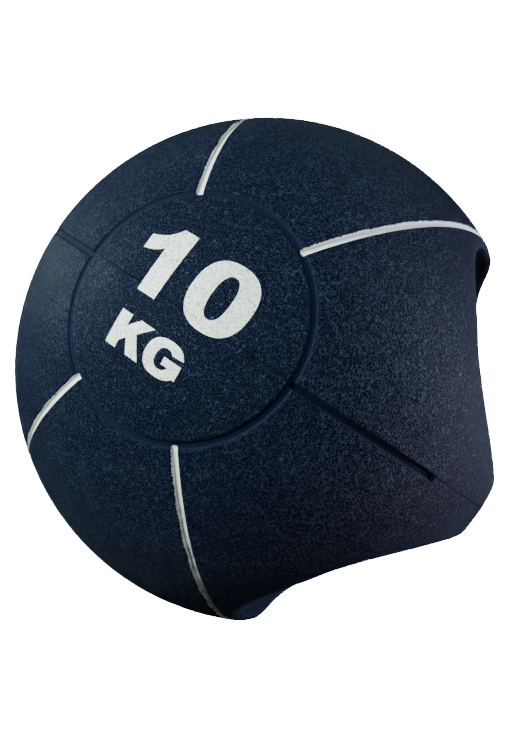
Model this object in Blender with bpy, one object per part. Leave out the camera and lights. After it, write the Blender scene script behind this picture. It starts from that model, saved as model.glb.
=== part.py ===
"""A 10 kg medicine ball with two moulded grips.

Two thick rubber halves are bonded on their parting plane, round an air bladder with its tube and
plug. Four of the six grooves hold a white line of paint, and each end disc carries the weight in
white ink.

Frame: metres, origin at the ball's centre. +X runs through the right-hand grip, -Y through the
front disc, and +Z is up as the weight reads. The parting plane lies just above Z = 0.
"""

import math

import bmesh
import bpy
from mathutils import Matrix

# Ball
BALL_RADIUS = 0.140
FIT_GAP = 0.0003                  # between pieces that touch
TURN_STEPS = 48                   # facets round the disc axis
SMALL_TURN_STEPS = 20             # facets round the bladder and the valve
CAVITY_RADIUS = 0.054
PARTING_LEVEL = 0.00135           # runs along the upper wall of the two bare grooves

# End discs, each inside a ring groove
RING_ANGLE = math.radians(23.1)   # from the disc axis
RING_HALF_WIDTH = 0.0014
RING_DEPTH = 0.0013

# Grooves along the meridians, from ring to ring
GROOVE_HALF_WIDTH = 0.0016
GROOVE_FLOOR_HALF_WIDTH = 0.0011
GROOVE_DEPTH = 0.0017
GROOVE_STEP = math.radians(6.0)
PAINTED_AZIMUTHS = {
    "right_upper": math.radians(60),
    "left_upper": math.radians(120),
    "left_lower": math.radians(240),
    "right_lower": math.radians(300),
}
BARE_GROOVE_END = math.radians(57)
PAINT_HALF_WIDTH = 0.0009
PAINT_THICKNESS = 0.0005

# Recesses and grips
FLOOR_X = 0.066                   # the recess's flat floor
SCOOP_Z = 0.0637                  # the widest level of each scoop, above and below the grip
SCOOP_HALF_Y = 0.0684
SCOOP_TO_GRIP = 0.0422            # from the widest level in to the grip
SCOOP_TO_RIM = 0.0493             # from the widest level out to the far rim
GRIP_SIDE_POWER = 1.8             # how square each half of the oval is
RIM_SIDE_POWER = 2.5
SCOOP_FILLET = 0.006
FILLET_STEPS = 2
SCOOP_POINTS = 17                 # on each half of the oval
RIM_RADIUS = 0.008
RIM_TURNS = (math.pi / 2, math.pi / 3, math.pi / 6)
RIM_LAST_SPREAD = 0.0124          # where the rounding runs out of the ball
RIM_LAST_HEIGHT = 0.0021
GRIP_UNDERSIDE_X = 0.103
GRIP_PROUD = 0.0013               # the grip's outer face swells out of the ball
GRIP_SWELL = (0.060, 0.030)       # how far the swelling spreads, front to back and up
FINGER_GAP_HALF_Y = 0.056
FINGER_GAP_CORNER = 0.008

# Air valve, on the parting plane
VALVE_ANGLE = math.radians(14.4)  # from the disc axis, towards the right-hand grip
VALVE_RADIUS = 0.0028
AIRWAY_RADIUS = 0.0012
PLUG_LENGTH = 0.024
BLADDER_WALL = 0.002

# Printing
INK_THICKNESS = 0.0004

OUTSIDE = 1.3 * BALL_RADIUS       # clear of the ball


def clear_scene():
    for item in list(bpy.data.objects):
        bpy.data.objects.remove(item, do_unlink=True)


def material(name, colour, roughness):
    result = bpy.data.materials.new(name)
    result.use_nodes = True
    shader = result.node_tree.nodes["Principled BSDF"]
    shader.inputs["Base Color"].default_value = (*colour, 1.0)
    shader.inputs["Roughness"].default_value = roughness
    shader.inputs["Metallic"].default_value = 0.0
    return result


def mesh_from(name, bm):
    bmesh.ops.recalc_face_normals(bm, faces=bm.faces)
    mesh = bpy.data.meshes.new(name)
    bm.to_mesh(mesh)
    bm.free()
    return mesh


def add_object(name, mesh, finish=None):
    result = bpy.data.objects.new(name, mesh)
    bpy.context.scene.collection.objects.link(result)
    if finish is not None and not mesh.materials:
        mesh.materials.append(finish)
    return result


def add_cutter(name, mesh):
    result = add_object(name, mesh)
    result.hide_render = True
    result.display_type = "WIRE"
    return result


def boolean(target, cutter, operation):
    modifier = target.modifiers.new(operation.lower(), "BOOLEAN")
    modifier.operation = operation
    modifier.solver = "EXACT"
    modifier.object = cutter


def shade(mesh):
    mesh.shade_smooth()
    mesh.set_sharp_from_angle(angle=math.radians(30))


def applied_mesh(item, name):
    """The object's mesh with its modifiers applied."""
    shaped = item.evaluated_get(bpy.context.evaluated_depsgraph_get())
    result = bpy.data.meshes.new_from_object(shaped)
    result.name = name
    return result


def turned(name, outline, closed, steps=TURN_STEPS):
    """Turn an outline of (radius, distance towards the front) points about the disc axis."""
    bm = bmesh.new()
    points = [bm.verts.new((radius, -front, 0.0)) for radius, front in outline]
    edges = [bm.edges.new(pair) for pair in zip(points, points[1:])]
    if closed:
        edges.append(bm.edges.new((points[-1], points[0])))
    bmesh.ops.spin(
        bm,
        geom=points + edges,
        cent=(0.0, 0.0, 0.0),
        axis=(0.0, 1.0, 0.0),
        angle=2.0 * math.pi,
        steps=steps,
        use_merge=True,
    )
    bmesh.ops.remove_doubles(bm, verts=bm.verts, dist=1e-6)
    return mesh_from(name, bm)


def polar(radius, angle):
    return radius * math.sin(angle), radius * math.cos(angle)


def spread(start, end, step):
    """Angles from start to end, in equal steps of about the given size."""
    count = max(1, round(abs(end - start) / step))
    return [start + (end - start) * i / count for i in range(count + 1)]


def front_angles():
    """Angles from the disc axis at which the ball is faceted, from the pole to the equator."""
    half_ring = RING_HALF_WIDTH / BALL_RADIUS
    disc = spread(0.0, RING_ANGLE - half_ring, GROOVE_STEP)
    panel = spread(RING_ANGLE + half_ring, math.pi / 2, GROOVE_STEP)
    return disc, panel


def ball_outline():
    disc, panel = front_angles()
    floor = RING_HALF_WIDTH / BALL_RADIUS / 2
    front = [polar(BALL_RADIUS, angle) for angle in disc]
    front += [polar(BALL_RADIUS - RING_DEPTH, RING_ANGLE + side * floor) for side in (-1, 1)]
    front += [polar(BALL_RADIUS, angle) for angle in panel]
    rear = [(radius, -distance) for radius, distance in reversed(front[:-1])]
    return front + rear


def print_blank_outline():
    """A thin bowl over the front and the equator, faceted as the ball is."""
    disc, panel = front_angles()
    angles = disc + panel + [math.pi - angle for angle in reversed(panel[len(panel) // 2:-1])]
    inner = BALL_RADIUS + FIT_GAP
    outside = [polar(inner + INK_THICKNESS, angle) for angle in angles]
    inside = [polar(inner, angle) for angle in reversed(angles)]
    return outside + inside


def swept_strip(name, inner, outer, inner_half_width, outer_half_width, start, end, azimuth):
    """A strip between two radii that follows a meridian from one polar angle to another."""
    bm = bmesh.new()
    corners = [
        bm.verts.new((0.0, -radius, side * half_width))
        for radius, half_width, side in (
            (inner, inner_half_width, -1),
            (inner, inner_half_width, 1),
            (outer, outer_half_width, 1),
            (outer, outer_half_width, -1),
        )
    ]
    section = bm.faces.new(corners)
    about_z = Matrix.Rotation(start, 4, "Z")
    bmesh.ops.transform(bm, matrix=about_z, verts=bm.verts)
    bmesh.ops.spin(
        bm,
        geom=[section, *section.edges, *section.verts],
        cent=(0.0, 0.0, 0.0),
        axis=(0.0, 0.0, 1.0),
        angle=end - start,
        steps=max(1, round((end - start) / GROOVE_STEP)),
        use_merge=False,
    )
    bmesh.ops.transform(bm, matrix=Matrix.Rotation(-azimuth, 4, "Y"), verts=bm.verts)
    return mesh_from(name, bm)


def groove_cutter(name, start, end, azimuth):
    over = 0.002
    slope = (GROOVE_HALF_WIDTH - GROOVE_FLOOR_HALF_WIDTH) / GROOVE_DEPTH
    mesh = swept_strip(
        name,
        BALL_RADIUS - GROOVE_DEPTH,
        BALL_RADIUS + over,
        GROOVE_FLOOR_HALF_WIDTH,
        GROOVE_HALF_WIDTH + over * slope,
        start,
        end,
        azimuth,
    )
    return add_cutter(name, mesh)


def rounded(centre, half_size, start, end, count, power=2.4):
    """Points of a squared-off oval between two angles, in degrees from +X, anticlockwise."""
    points = []
    for i in range(count):
        angle = math.radians(start + (end - start) * i / (count - 1))
        cosine, sine = math.cos(angle), math.sin(angle)
        scale = (abs(cosine) ** power + abs(sine) ** power) ** (-1.0 / power)
        points.append((centre[0] + half_size[0] * scale * cosine, centre[1] + half_size[1] * scale * sine))
    return points


def scoop_outline(level):
    """An oval, as (front to back, up) points, blunter on its rim side than on its grip side."""
    centre = (0.0, level * SCOOP_Z)
    above = (SCOOP_TO_RIM, RIM_SIDE_POWER) if level > 0 else (SCOOP_TO_GRIP, GRIP_SIDE_POWER)
    below = (SCOOP_TO_GRIP, GRIP_SIDE_POWER) if level > 0 else (SCOOP_TO_RIM, RIM_SIDE_POWER)
    points = []
    for (reach, power), start in ((above, 0), (below, 180)):
        arc = rounded(centre, (SCOOP_HALF_Y, reach), start, start + 180, SCOOP_POINTS, power)
        points += arc[:-1]
    return points


def moved_out(points, distance):
    """Move each point of a closed anticlockwise outline straight out of it."""
    result = []
    for i, (across, up) in enumerate(points):
        ahead, behind = points[(i + 1) % len(points)], points[i - 1]
        run, rise = ahead[0] - behind[0], ahead[1] - behind[1]
        share = distance / math.hypot(run, rise)
        result.append((across + share * rise, up - share * run))
    return result


def grip_rise(y, z):
    along, upward = GRIP_SWELL
    return GRIP_PROUD * math.exp(-(y / along) ** 2 - (z / upward) ** 2)


def ring_below_skin(points, depth):
    """Lay (front to back, up) points a depth below the ball's outer face."""
    return [
        (math.sqrt((BALL_RADIUS + grip_rise(y, z) - depth) ** 2 - y * y - z * z), y, z)
        for y, z in points
    ]


def scoop_rings(level):
    """Closed rings of points up a scoop's wall, from its floor to outside the ball."""
    wall = scoop_outline(level)
    rings = []
    for i in range(FILLET_STEPS + 1):
        turn = math.pi / 2 * (1 - i / FILLET_STEPS)
        inset = SCOOP_FILLET * (1 - math.cos(turn))
        x = FLOOR_X + SCOOP_FILLET * (1 - math.sin(turn))
        rings.append([(x, y, z) for y, z in moved_out(wall, -inset)])
    for turn in RIM_TURNS:
        spread_out = RIM_RADIUS * (1 - math.sin(turn))
        rings.append(ring_below_skin(moved_out(wall, spread_out), RIM_RADIUS * (1 - math.cos(turn))))
    beyond = moved_out(wall, RIM_LAST_SPREAD)
    rings.append(ring_below_skin(beyond, -RIM_LAST_HEIGHT))
    rings.append([(OUTSIDE, y, z) for y, z in beyond])
    return rings


def scoop_cutter(name, side, level):
    """An oval well in the ball, with a rounded foot and a rounded rim."""
    bm = bmesh.new()
    rings = [[bm.verts.new(point) for point in ring] for ring in scoop_rings(level)]
    for lower, upper in zip(rings, rings[1:]):
        for i, corner in enumerate(lower):
            bm.faces.new((lower[i - 1], corner, upper[i], upper[i - 1]))
    bm.faces.new(rings[0])
    bm.faces.new(rings[-1])
    bmesh.ops.triangulate(bm, faces=bm.faces)
    if side < 0:
        turn = Matrix.Rotation(math.pi, 3, "Z")
        bmesh.ops.rotate(bm, cent=(0, 0, 0), matrix=turn, verts=bm.verts)
    return add_cutter(name, mesh_from(name, bm))


def finger_gap_cutter(name, side):
    """The slot under a grip, from one scoop to the other, with rounded corners."""
    bm = bmesh.new()
    bmesh.ops.create_cube(bm, size=1.0)
    height = GRIP_UNDERSIDE_X - FLOOR_X
    bmesh.ops.scale(bm, vec=(height, 2 * FINGER_GAP_HALF_Y, 2 * SCOOP_Z), verts=bm.verts)
    bmesh.ops.translate(bm, vec=(FLOOR_X + height / 2, 0.0, 0.0), verts=bm.verts)
    along = [
        edge for edge in bm.edges
        if abs(edge.verts[0].co.z - edge.verts[1].co.z) > SCOOP_Z
    ]
    bmesh.ops.bevel(
        bm, geom=along, offset=FINGER_GAP_CORNER, offset_type="OFFSET", segments=3, profile=0.5,
        affect="EDGES", material=-1,
    )
    bmesh.ops.scale(bm, vec=(side, 1.0, 1.0), verts=bm.verts)
    return add_cutter(name, mesh_from(name, bm))


def half_space(name, side):
    """A block that takes away one half of the ball, and half the gap at the parting plane."""
    bm = bmesh.new()
    bmesh.ops.create_cube(bm, size=1.0)
    bmesh.ops.scale(bm, vec=(2 * OUTSIDE, 2 * OUTSIDE, OUTSIDE), verts=bm.verts)
    middle = PARTING_LEVEL + side * (OUTSIDE / 2 - FIT_GAP / 2)
    bmesh.ops.translate(bm, vec=(0.0, 0.0, middle), verts=bm.verts)
    return add_cutter(name, mesh_from(name, bm))


def cavity_cutter():
    """The hollow in the middle, with the way through the wall for the valve."""
    over = 0.01
    bore = VALVE_RADIUS + FIT_GAP
    mouth = math.asin(bore / CAVITY_RADIUS)
    outline = [(0.0, BALL_RADIUS + over), (bore, BALL_RADIUS + over)]
    outline += [polar(CAVITY_RADIUS, angle) for angle in spread(mouth, math.pi, 2 * GROOVE_STEP)]
    mesh = turned("cavity_cutter", outline, closed=False, steps=SMALL_TURN_STEPS)
    cutter = add_cutter("cavity_cutter", mesh)
    cutter.rotation_euler.z = VALVE_ANGLE
    cutter.location.z = PARTING_LEVEL
    return cutter


def swell_grips(mesh):
    """Raise the outer face of each grip a little out of the ball."""
    bm = bmesh.new()
    bm.from_mesh(mesh)
    for vertex in bm.verts:
        x, y, z = vertex.co
        if abs(x) > FLOOR_X:
            vertex.co *= 1.0 + grip_rise(y, z) / BALL_RADIUS
    bmesh.ops.triangulate(bm, faces=bm.faces)
    bm.to_mesh(mesh)
    bm.free()


def build_shells(rubber):
    """The whole ball is shaped first, then parted into its two moulded halves."""
    blank = add_cutter("ball_blank", turned("ball_blank", ball_outline(), closed=False))
    swell_grips(blank.data)
    cutters = [cavity_cutter()]
    for side, side_name in ((1, "right"), (-1, "left")):
        for level, level_name in ((1, "upper"), (-1, "lower")):
            cutters.append(scoop_cutter(f"scoop_{side_name}_{level_name}", side, level))
        cutters.append(finger_gap_cutter(f"finger_gap_{side_name}", side))
    inset = math.radians(0.2)
    start = RING_ANGLE + inset
    for name, azimuth in PAINTED_AZIMUTHS.items():
        cutters.append(groove_cutter(f"groove_{name}", start, math.pi - start, azimuth))
    for azimuth, name in ((0.0, "right"), (math.pi, "left")):
        front = groove_cutter(f"groove_front_{name}", start, BARE_GROOVE_END, azimuth)
        back = groove_cutter(
            f"groove_back_{name}", math.pi - BARE_GROOVE_END, math.pi - start, azimuth
        )
        cutters += [front, back]
    for cutter in cutters:
        boolean(blank, cutter, "DIFFERENCE")
    whole = applied_mesh(blank, "ball")
    for name, side in (("shell_upper", -1), ("shell_lower", 1)):
        shell = add_object(name, whole.copy(), rubber)
        boolean(shell, half_space(f"{name}_parting_block", side), "DIFFERENCE")
        shade(shell.data)


def build_bladder_and_valve(butyl, plug_rubber):
    outer = CAVITY_RADIUS - FIT_GAP
    inner = outer - BLADDER_WALL
    step = 2 * GROOVE_STEP
    outside = [polar(outer, angle) for angle in spread(math.pi, math.asin(AIRWAY_RADIUS / outer), step)]
    inside = [polar(inner, angle) for angle in spread(math.asin(AIRWAY_RADIUS / inner), math.pi, step)]
    plug_foot = BALL_RADIUS - PLUG_LENGTH
    tube_foot = CAVITY_RADIUS
    tube = [
        (AIRWAY_RADIUS, tube_foot),
        (VALVE_RADIUS, tube_foot),
        (VALVE_RADIUS, plug_foot - FIT_GAP),
        (AIRWAY_RADIUS, plug_foot - FIT_GAP),
    ]
    plug = [(0.0, plug_foot), (VALVE_RADIUS, plug_foot)]
    plug += [(VALVE_RADIUS, BALL_RADIUS - 2 * FIT_GAP), (0.0, BALL_RADIUS - FIT_GAP)]
    pieces = (
        ("air_bladder", outside + inside, False, butyl),
        ("valve_tube", tube, True, butyl),
        ("valve_plug", plug, False, plug_rubber),
    )
    for name, outline, closed, finish in pieces:
        mesh = turned(name, outline, closed, SMALL_TURN_STEPS)
        shade(mesh)
        piece = add_object(name, mesh, finish)
        piece.rotation_euler.z = VALVE_ANGLE
        piece.location.z = PARTING_LEVEL


def build_paint_lines(paint):
    floor = BALL_RADIUS - GROOVE_DEPTH + FIT_GAP
    inset = math.radians(0.8)
    start = RING_ANGLE + inset
    for name, azimuth in PAINTED_AZIMUTHS.items():
        mesh = swept_strip(
            f"paint_line_{name}",
            floor,
            floor + PAINT_THICKNESS,
            PAINT_HALF_WIDTH,
            PAINT_HALF_WIDTH,
            start,
            math.pi - start,
            azimuth,
        )
        shade(mesh)
        add_object(f"paint_line_{name}", mesh, paint)


def bowed(start, middle, end, count):
    """Points of a curve through three points, without its two ends."""
    points = []
    for i in range(1, count):
        t = i / count
        weights = ((1 - t) * (1 - 2 * t), 4 * t * (1 - t), t * (2 * t - 1))
        points.append(tuple(sum(w * p[k] for w, p in zip(weights, (start, middle, end))) for k in (0, 1)))
    return points


def digit_one():
    tip_top, tip_foot = (-0.0316, 0.0217), (-0.0316, 0.0147)
    crotch, shoulder = (-0.0214, 0.0190), (-0.0191, 0.0300)
    outline = [tip_foot, *bowed(tip_foot, (-0.0260, 0.0162), crotch, 3), crotch]
    outline += [(-0.0214, -0.0017), (-0.0115, -0.0017), (-0.0111, 0.0300), shoulder]
    outline += [*bowed(shoulder, (-0.0242, 0.0246), tip_top, 4), tip_top]
    return [outline]


def digit_zero():
    centre = (0.0134, 0.0136)
    outer = rounded(centre, (0.0144, 0.0160), 0, 348, 30)
    inner = rounded(centre, (0.0047, 0.0102), 0, 342, 20)
    return [outer, inner]


def letter_k():
    return [[
        (-0.0222, -0.0276), (-0.0163, -0.0276), (-0.0163, -0.0239), (-0.0137, -0.0214),
        (-0.0101, -0.0276), (-0.0033, -0.0276), (-0.0098, -0.0179), (-0.0032, -0.0119),
        (-0.0110, -0.0119), (-0.0161, -0.0170), (-0.0161, -0.0119), (-0.0222, -0.0119),
    ]]


def letter_g():
    centre = (0.0063, -0.0200)
    outside = rounded(centre, (0.0092, 0.0081), 24, 322, 17)
    inside = rounded(centre, (0.0038, 0.0046), 320, 40, 10)
    bar = [(0.0101, -0.0223), (0.0065, -0.0223), (0.0065, -0.0189), (0.0152, -0.0189), (0.0152, -0.0254)]
    return [inside + outside + list(reversed(bar))]


def prism(name, outlines, low, high):
    """Fill the outlines, of (across, up) points, and give them depth along +Z."""
    bm = bmesh.new()
    edges = []
    for outline in outlines:
        points = [bm.verts.new((across, up, low)) for across, up in outline]
        edges += [bm.edges.new(pair) for pair in zip(points, points[1:] + points[:1])]
    filled = bmesh.ops.triangle_fill(bm, edges=edges, use_beauty=True)
    faces = [item for item in filled["geom"] if isinstance(item, bmesh.types.BMFace)]
    raised = bmesh.ops.extrude_face_region(bm, geom=faces)
    top = [item for item in raised["geom"] if isinstance(item, bmesh.types.BMVert)]
    bmesh.ops.translate(bm, vec=(0.0, 0.0, high - low), verts=top)
    return mesh_from(name, bm)


def build_print(ink):
    """Each film of ink is its outline's share of a thin blank that lies over the ball."""
    blank = add_cutter("print_blank", turned("print_blank", print_blank_outline(), closed=False))
    near = 0.9 * BALL_RADIUS
    far = 1.1 * BALL_RADIUS
    to_front = Matrix.Rotation(math.pi / 2, 4, "X")
    glyphs = {
        "digit_one": digit_one(),
        "digit_zero": digit_zero(),
        "letter_k": letter_k(),
        "letter_g": letter_g(),
    }
    for name, outlines in glyphs.items():
        mesh = prism(name, outlines, near, far)
        mesh.transform(to_front)
        front = add_object(f"front_{name}", mesh, ink)
        boolean(front, blank, "INTERSECT")
        back = add_object(f"back_{name}", applied_mesh(front, f"back_{name}"))
        back.rotation_euler.z = math.pi


def main():
    clear_scene()
    rubber = material("navy_rubber", (0.006, 0.010, 0.024), 0.55)
    butyl = material("black_butyl", (0.01, 0.01, 0.01), 0.7)
    plug_rubber = material("plug_rubber", (0.005, 0.008, 0.020), 0.5)
    paint = material("white_line_paint", (0.72, 0.74, 0.72), 0.45)
    ink = material("white_ink", (0.76, 0.79, 0.74), 0.55)
    build_shells(rubber)
    build_bladder_and_valve(butyl, plug_rubber)
    build_paint_lines(paint)
    build_print(ink)


main()
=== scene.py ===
"""The looks of a 10 kg medicine ball of moulded rubber with a grip across each of its two recesses.

Metres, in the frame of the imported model: +X runs through the right-hand grip, -Y through the front
disc and +Z is up as the weight reads. The mould's parting plane lies just above Z = 0.
"""

import math

import bmesh
import bpy
import numpy as np
from mathutils import Matrix, Vector, noise


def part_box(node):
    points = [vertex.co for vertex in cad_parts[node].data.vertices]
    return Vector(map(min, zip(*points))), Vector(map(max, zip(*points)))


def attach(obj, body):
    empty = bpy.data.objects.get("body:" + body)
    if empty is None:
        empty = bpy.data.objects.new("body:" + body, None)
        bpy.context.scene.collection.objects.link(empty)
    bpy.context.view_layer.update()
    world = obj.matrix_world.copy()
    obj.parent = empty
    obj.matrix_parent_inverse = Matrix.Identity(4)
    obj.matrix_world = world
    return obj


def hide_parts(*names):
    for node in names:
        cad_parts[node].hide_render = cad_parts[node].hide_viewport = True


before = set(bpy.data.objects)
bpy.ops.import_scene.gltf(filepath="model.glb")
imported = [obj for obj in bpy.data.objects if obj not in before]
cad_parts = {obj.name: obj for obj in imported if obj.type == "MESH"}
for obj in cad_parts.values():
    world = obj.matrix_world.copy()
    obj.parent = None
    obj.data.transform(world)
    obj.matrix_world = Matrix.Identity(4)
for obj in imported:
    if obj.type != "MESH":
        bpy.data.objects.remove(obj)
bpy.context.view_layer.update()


# Air bladder and valve tube. A butyl bladder keeps the middle of the ball hollow, and a moulded tube
# leads air to it. Both are sealed in when the halves are bonded, and only a sliced ball shows them.

def bladder_rubber(name, colour):
    """Dull butyl rubber with a dusting of release talc."""
    result = bpy.data.materials.new(name)
    result.use_nodes = True
    tree = result.node_tree
    tree.nodes.clear()

    place = tree.nodes.new("ShaderNodeTexCoord")
    place.label = "place on the bladder"
    talc = tree.nodes.new("ShaderNodeTexNoise")
    talc.label = "drifts of talc"
    dusting = tree.nodes.new("ShaderNodeMapRange")
    dusting.label = "where the talc lies"
    tint = tree.nodes.new("ShaderNodeMix")
    tint.label = "butyl or talc"
    orange_peel = tree.nodes.new("ShaderNodeTexNoise")
    orange_peel.label = "moulded orange peel"
    relief = tree.nodes.new("ShaderNodeBump")
    relief.label = "height of the orange peel"
    butyl = tree.nodes.new("ShaderNodeBsdfPrincipled")
    butyl.label = "butyl"
    output = tree.nodes.new("ShaderNodeOutputMaterial")
    for i, node in enumerate((place, talc, dusting, tint, orange_peel, relief, butyl, output)):
        node.location = (220 * i, 0)

    talc.inputs["Scale"].default_value = 45.0
    talc.inputs["Detail"].default_value = 4.0
    dusting.inputs["From Min"].default_value = 0.45
    dusting.inputs["From Max"].default_value = 0.75
    dusting.inputs["To Max"].default_value = 0.5
    tint.data_type = "RGBA"
    tint.inputs["A"].default_value = (*colour, 1.0)
    tint.inputs["B"].default_value = (0.16, 0.16, 0.155, 1.0)
    orange_peel.inputs["Scale"].default_value = 900.0
    relief.inputs["Strength"].default_value = 0.5
    relief.inputs["Distance"].default_value = 0.0002
    butyl.inputs["Roughness"].default_value = 0.7

    tree.links.new(place.outputs["Object"], talc.inputs["Vector"])
    tree.links.new(talc.outputs["Fac"], dusting.inputs["Value"])
    tree.links.new(dusting.outputs["Result"], tint.inputs["Factor"])
    tree.links.new(tint.outputs["Result"], butyl.inputs["Base Color"])
    tree.links.new(place.outputs["Object"], orange_peel.inputs["Vector"])
    tree.links.new(orange_peel.outputs["Fac"], relief.inputs["Height"])
    tree.links.new(relief.outputs["Normal"], butyl.inputs["Normal"])
    tree.links.new(butyl.outputs["BSDF"], output.inputs["Surface"])
    return result


for node_name, butyl_colour in (
    ("air_bladder", (0.012, 0.012, 0.012)),
    ("valve_tube", (0.020, 0.019, 0.018)),
):
    bladder_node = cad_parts[node_name]
    bladder_finish = bladder_rubber(f"{node_name}_butyl", butyl_colour)
    for finish_slot in bladder_node.material_slots:
        finish_slot.material = bladder_finish


# Rubber halves. Each is a thick moulding of filled navy rubber with half of both recesses and grips.
# The mould leaves a leathery grain on the skin, a ring groove round each disc and six grooves from
# ring to ring, of which the two on the parting plane stay unpainted and end short of the grips.

BALL_RADIUS = round(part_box("shell_upper")[1].y, 3)
DISC_ANGLE = math.radians(23.1)           # from the disc axis to the middle of the ring groove
RING_DEPTH = 0.0007
RING_FLOOR = 0.0009                       # half widths of the groove's floor and of its mouth
RING_MOUTH = 0.0019
SECTOR = math.radians(60)                 # from one long groove to the next
GROOVE_DEPTH = 0.0016
GROOVE_FLOOR = 0.0011
GROOVE_MOUTH = 0.0018
BARE_GROOVE_END = math.radians(57)

SCOOP_LEVEL = 0.0637                      # the widest level of each scoop, above and below a grip
SCOOP_HALF_LENGTH = 0.0684                # front to back
SCOOP_TO_GRIP = 0.0422
SCOOP_TO_RIM = 0.0493
GRIP_SIDE_POWER = 1.8                     # how square each half of the oval is
RIM_SIDE_POWER = 2.5
RECESS_FLOOR = 0.066                      # from the ball's middle
FLOOR_FILLET = 0.006
RIM_ROUNDING = 0.008
GRIP_UNDERSIDE = 0.103
FINGER_GAP_HALF_LENGTH = 0.056
FINGER_GAP_CORNER = 0.008
UNDERSIDE_ROUNDING = 0.007
RIM_REACH = 0.014                         # skin this near a recess is drawn onto its rounded rim
GRIP_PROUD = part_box("shell_upper")[1].x - BALL_RADIUS
GRIP_SWELL_LENGTH = 0.060                 # how far the swell reaches along the grip and across it
GRIP_SWELL_WIDTH = 0.030
BLADDER_CLEARANCE = 0.0006
HOLLOW_RADIUS = (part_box("air_bladder")[1].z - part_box("air_bladder")[0].z) / 2 + BLADDER_CLEARANCE
VALVE_ANGLE = math.radians(14.4)
BORE_RADIUS = 0.00285
PARTING_LEVEL = 0.00135                   # along the upper wall of the bare grooves
PARTING_GAP = 0.00002

STEPS_ROUND = 360
LINES_IN_GROOVE = 7                       # mesh lines from a groove's middle to its shoulder
LINE_PITCH = 0.00042
REMESH_SIZE = 0.002
SMOOTH_WITHIN = 0.0012                    # no grain this near the middle of a groove
GRAINED_BEYOND = 0.0024                   # full grain past this
GRAIN_IN_RECESS = 0.25


def smooth_step(value, start, end):
    share = np.clip((value - start) / (end - start), 0.0, 1.0)
    return share * share * (3.0 - 2.0 * share)


def groove_section(offset, depth, floor, mouth):
    """Depth of a groove with soft shoulders, at an offset from its middle."""
    return depth * (1.0 - smooth_step(np.abs(offset), floor, mouth))


def sphere_angles(points):
    """Polar angle from the nearer disc's axis, azimuth off the nearest long groove, and its number."""
    x, y, z = points.T
    polar = np.arctan2(np.hypot(x, z), np.abs(y))
    azimuth = np.arctan2(z, x)
    number = np.round(azimuth / SECTOR)
    return polar, azimuth - number * SECTOR, number.astype(int) % 6


def groove_depth(points):
    """How far the ring grooves and the long grooves lie below the ball's skin."""
    polar, turn, number = sphere_angles(points)
    ring = groove_section(BALL_RADIUS * (polar - DISC_ANGLE), RING_DEPTH, RING_FLOOR, RING_MOUTH)
    across = BALL_RADIUS * np.sin(polar) * turn
    last_middle = BARE_GROOVE_END - GROOVE_MOUTH / BALL_RADIUS
    past_end = np.where(number % 3 == 0, np.maximum(BALL_RADIUS * (polar - last_middle), 0.0), 0.0)
    long_groove = groove_section(np.hypot(across, past_end), GROOVE_DEPTH, GROOVE_FLOOR, GROOVE_MOUTH)
    return np.maximum(ring, np.where(polar > DISC_ANGLE, long_groove, 0.0))


def grip_rise(points):
    """How far the grips' outer faces swell out of the ball."""
    x, y, z = points.T
    swell = GRIP_PROUD * np.exp(-(y / GRIP_SWELL_LENGTH) ** 2 - (z / GRIP_SWELL_WIDTH) ** 2)
    return np.where(np.abs(x) > RECESS_FLOOR, swell, 0.0)


def skin_radius(points):
    return BALL_RADIUS + grip_rise(points) - groove_depth(points)


def smooth_max(a, b, rounding):
    """The larger distance, with the edge between the two rounded off."""
    corner = np.hypot(np.maximum(rounding + a, 0.0), np.maximum(rounding + b, 0.0))
    return np.minimum(-rounding, np.maximum(a, b)) + corner


def recess_distance(points):
    """Distance outside a recess: two oval wells, joined by the finger gap under the grip."""
    x, y, z = np.abs(points).T
    past = z > SCOOP_LEVEL
    reach = np.where(past, SCOOP_TO_RIM, SCOOP_TO_GRIP)
    power = np.where(past, RIM_SIDE_POWER, GRIP_SIDE_POWER)
    along = np.maximum(y / SCOOP_HALF_LENGTH, 1e-6)
    across = np.maximum(np.abs(z - SCOOP_LEVEL) / reach, 1e-6)
    size = (along ** power + across ** power) ** (1.0 / power)
    slope = np.hypot(along ** (power - 1) / SCOOP_HALF_LENGTH, across ** (power - 1) / reach)
    oval = (size - 1.0) / (slope * size ** (1.0 - power))
    well = smooth_max(oval, RECESS_FLOOR - x, FLOOR_FILLET)
    slot = smooth_max(y - FINGER_GAP_HALF_LENGTH, RECESS_FLOOR - x, FINGER_GAP_CORNER)
    slot = smooth_max(slot, x - GRIP_UNDERSIDE, FINGER_GAP_CORNER)
    slot = np.maximum(slot, z - SCOOP_LEVEL)
    joined = -smooth_max(-well, -slot, UNDERSIDE_ROUNDING)
    return np.maximum(joined, RECESS_FLOOR - x)


def rubber_distance(points):
    """Distance outside the whole ball of rubber, with its recesses' rims rounded."""
    skin = np.linalg.norm(points, axis=1) - skin_radius(points)
    return smooth_max(skin, -recess_distance(points), RIM_ROUNDING)


def slope_of(distance, points):
    """Gradient of a distance at each point."""
    step = 2e-6
    sides = []
    for axis in np.eye(3) * step:
        sides.append((distance(points + axis) - distance(points - axis)) / (2 * step))
    return np.stack(sides, axis=1)


def drawn_onto(distance, points, rounds=6):
    """Move points along the gradient until they lie where the distance is nought."""
    for _ in range(rounds):
        slope = slope_of(distance, points)
        size = np.maximum((slope ** 2).sum(1), 0.05)
        points = points - (distance(points) / size)[:, None] * slope
    return points


def mesh_points(mesh):
    points = np.empty(len(mesh.vertices) * 3)
    mesh.vertices.foreach_get("co", points)
    return points.reshape(-1, 3)


def set_mesh_points(mesh, points):
    mesh.vertices.foreach_set("co", points.ravel())
    mesh.update()


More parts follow.
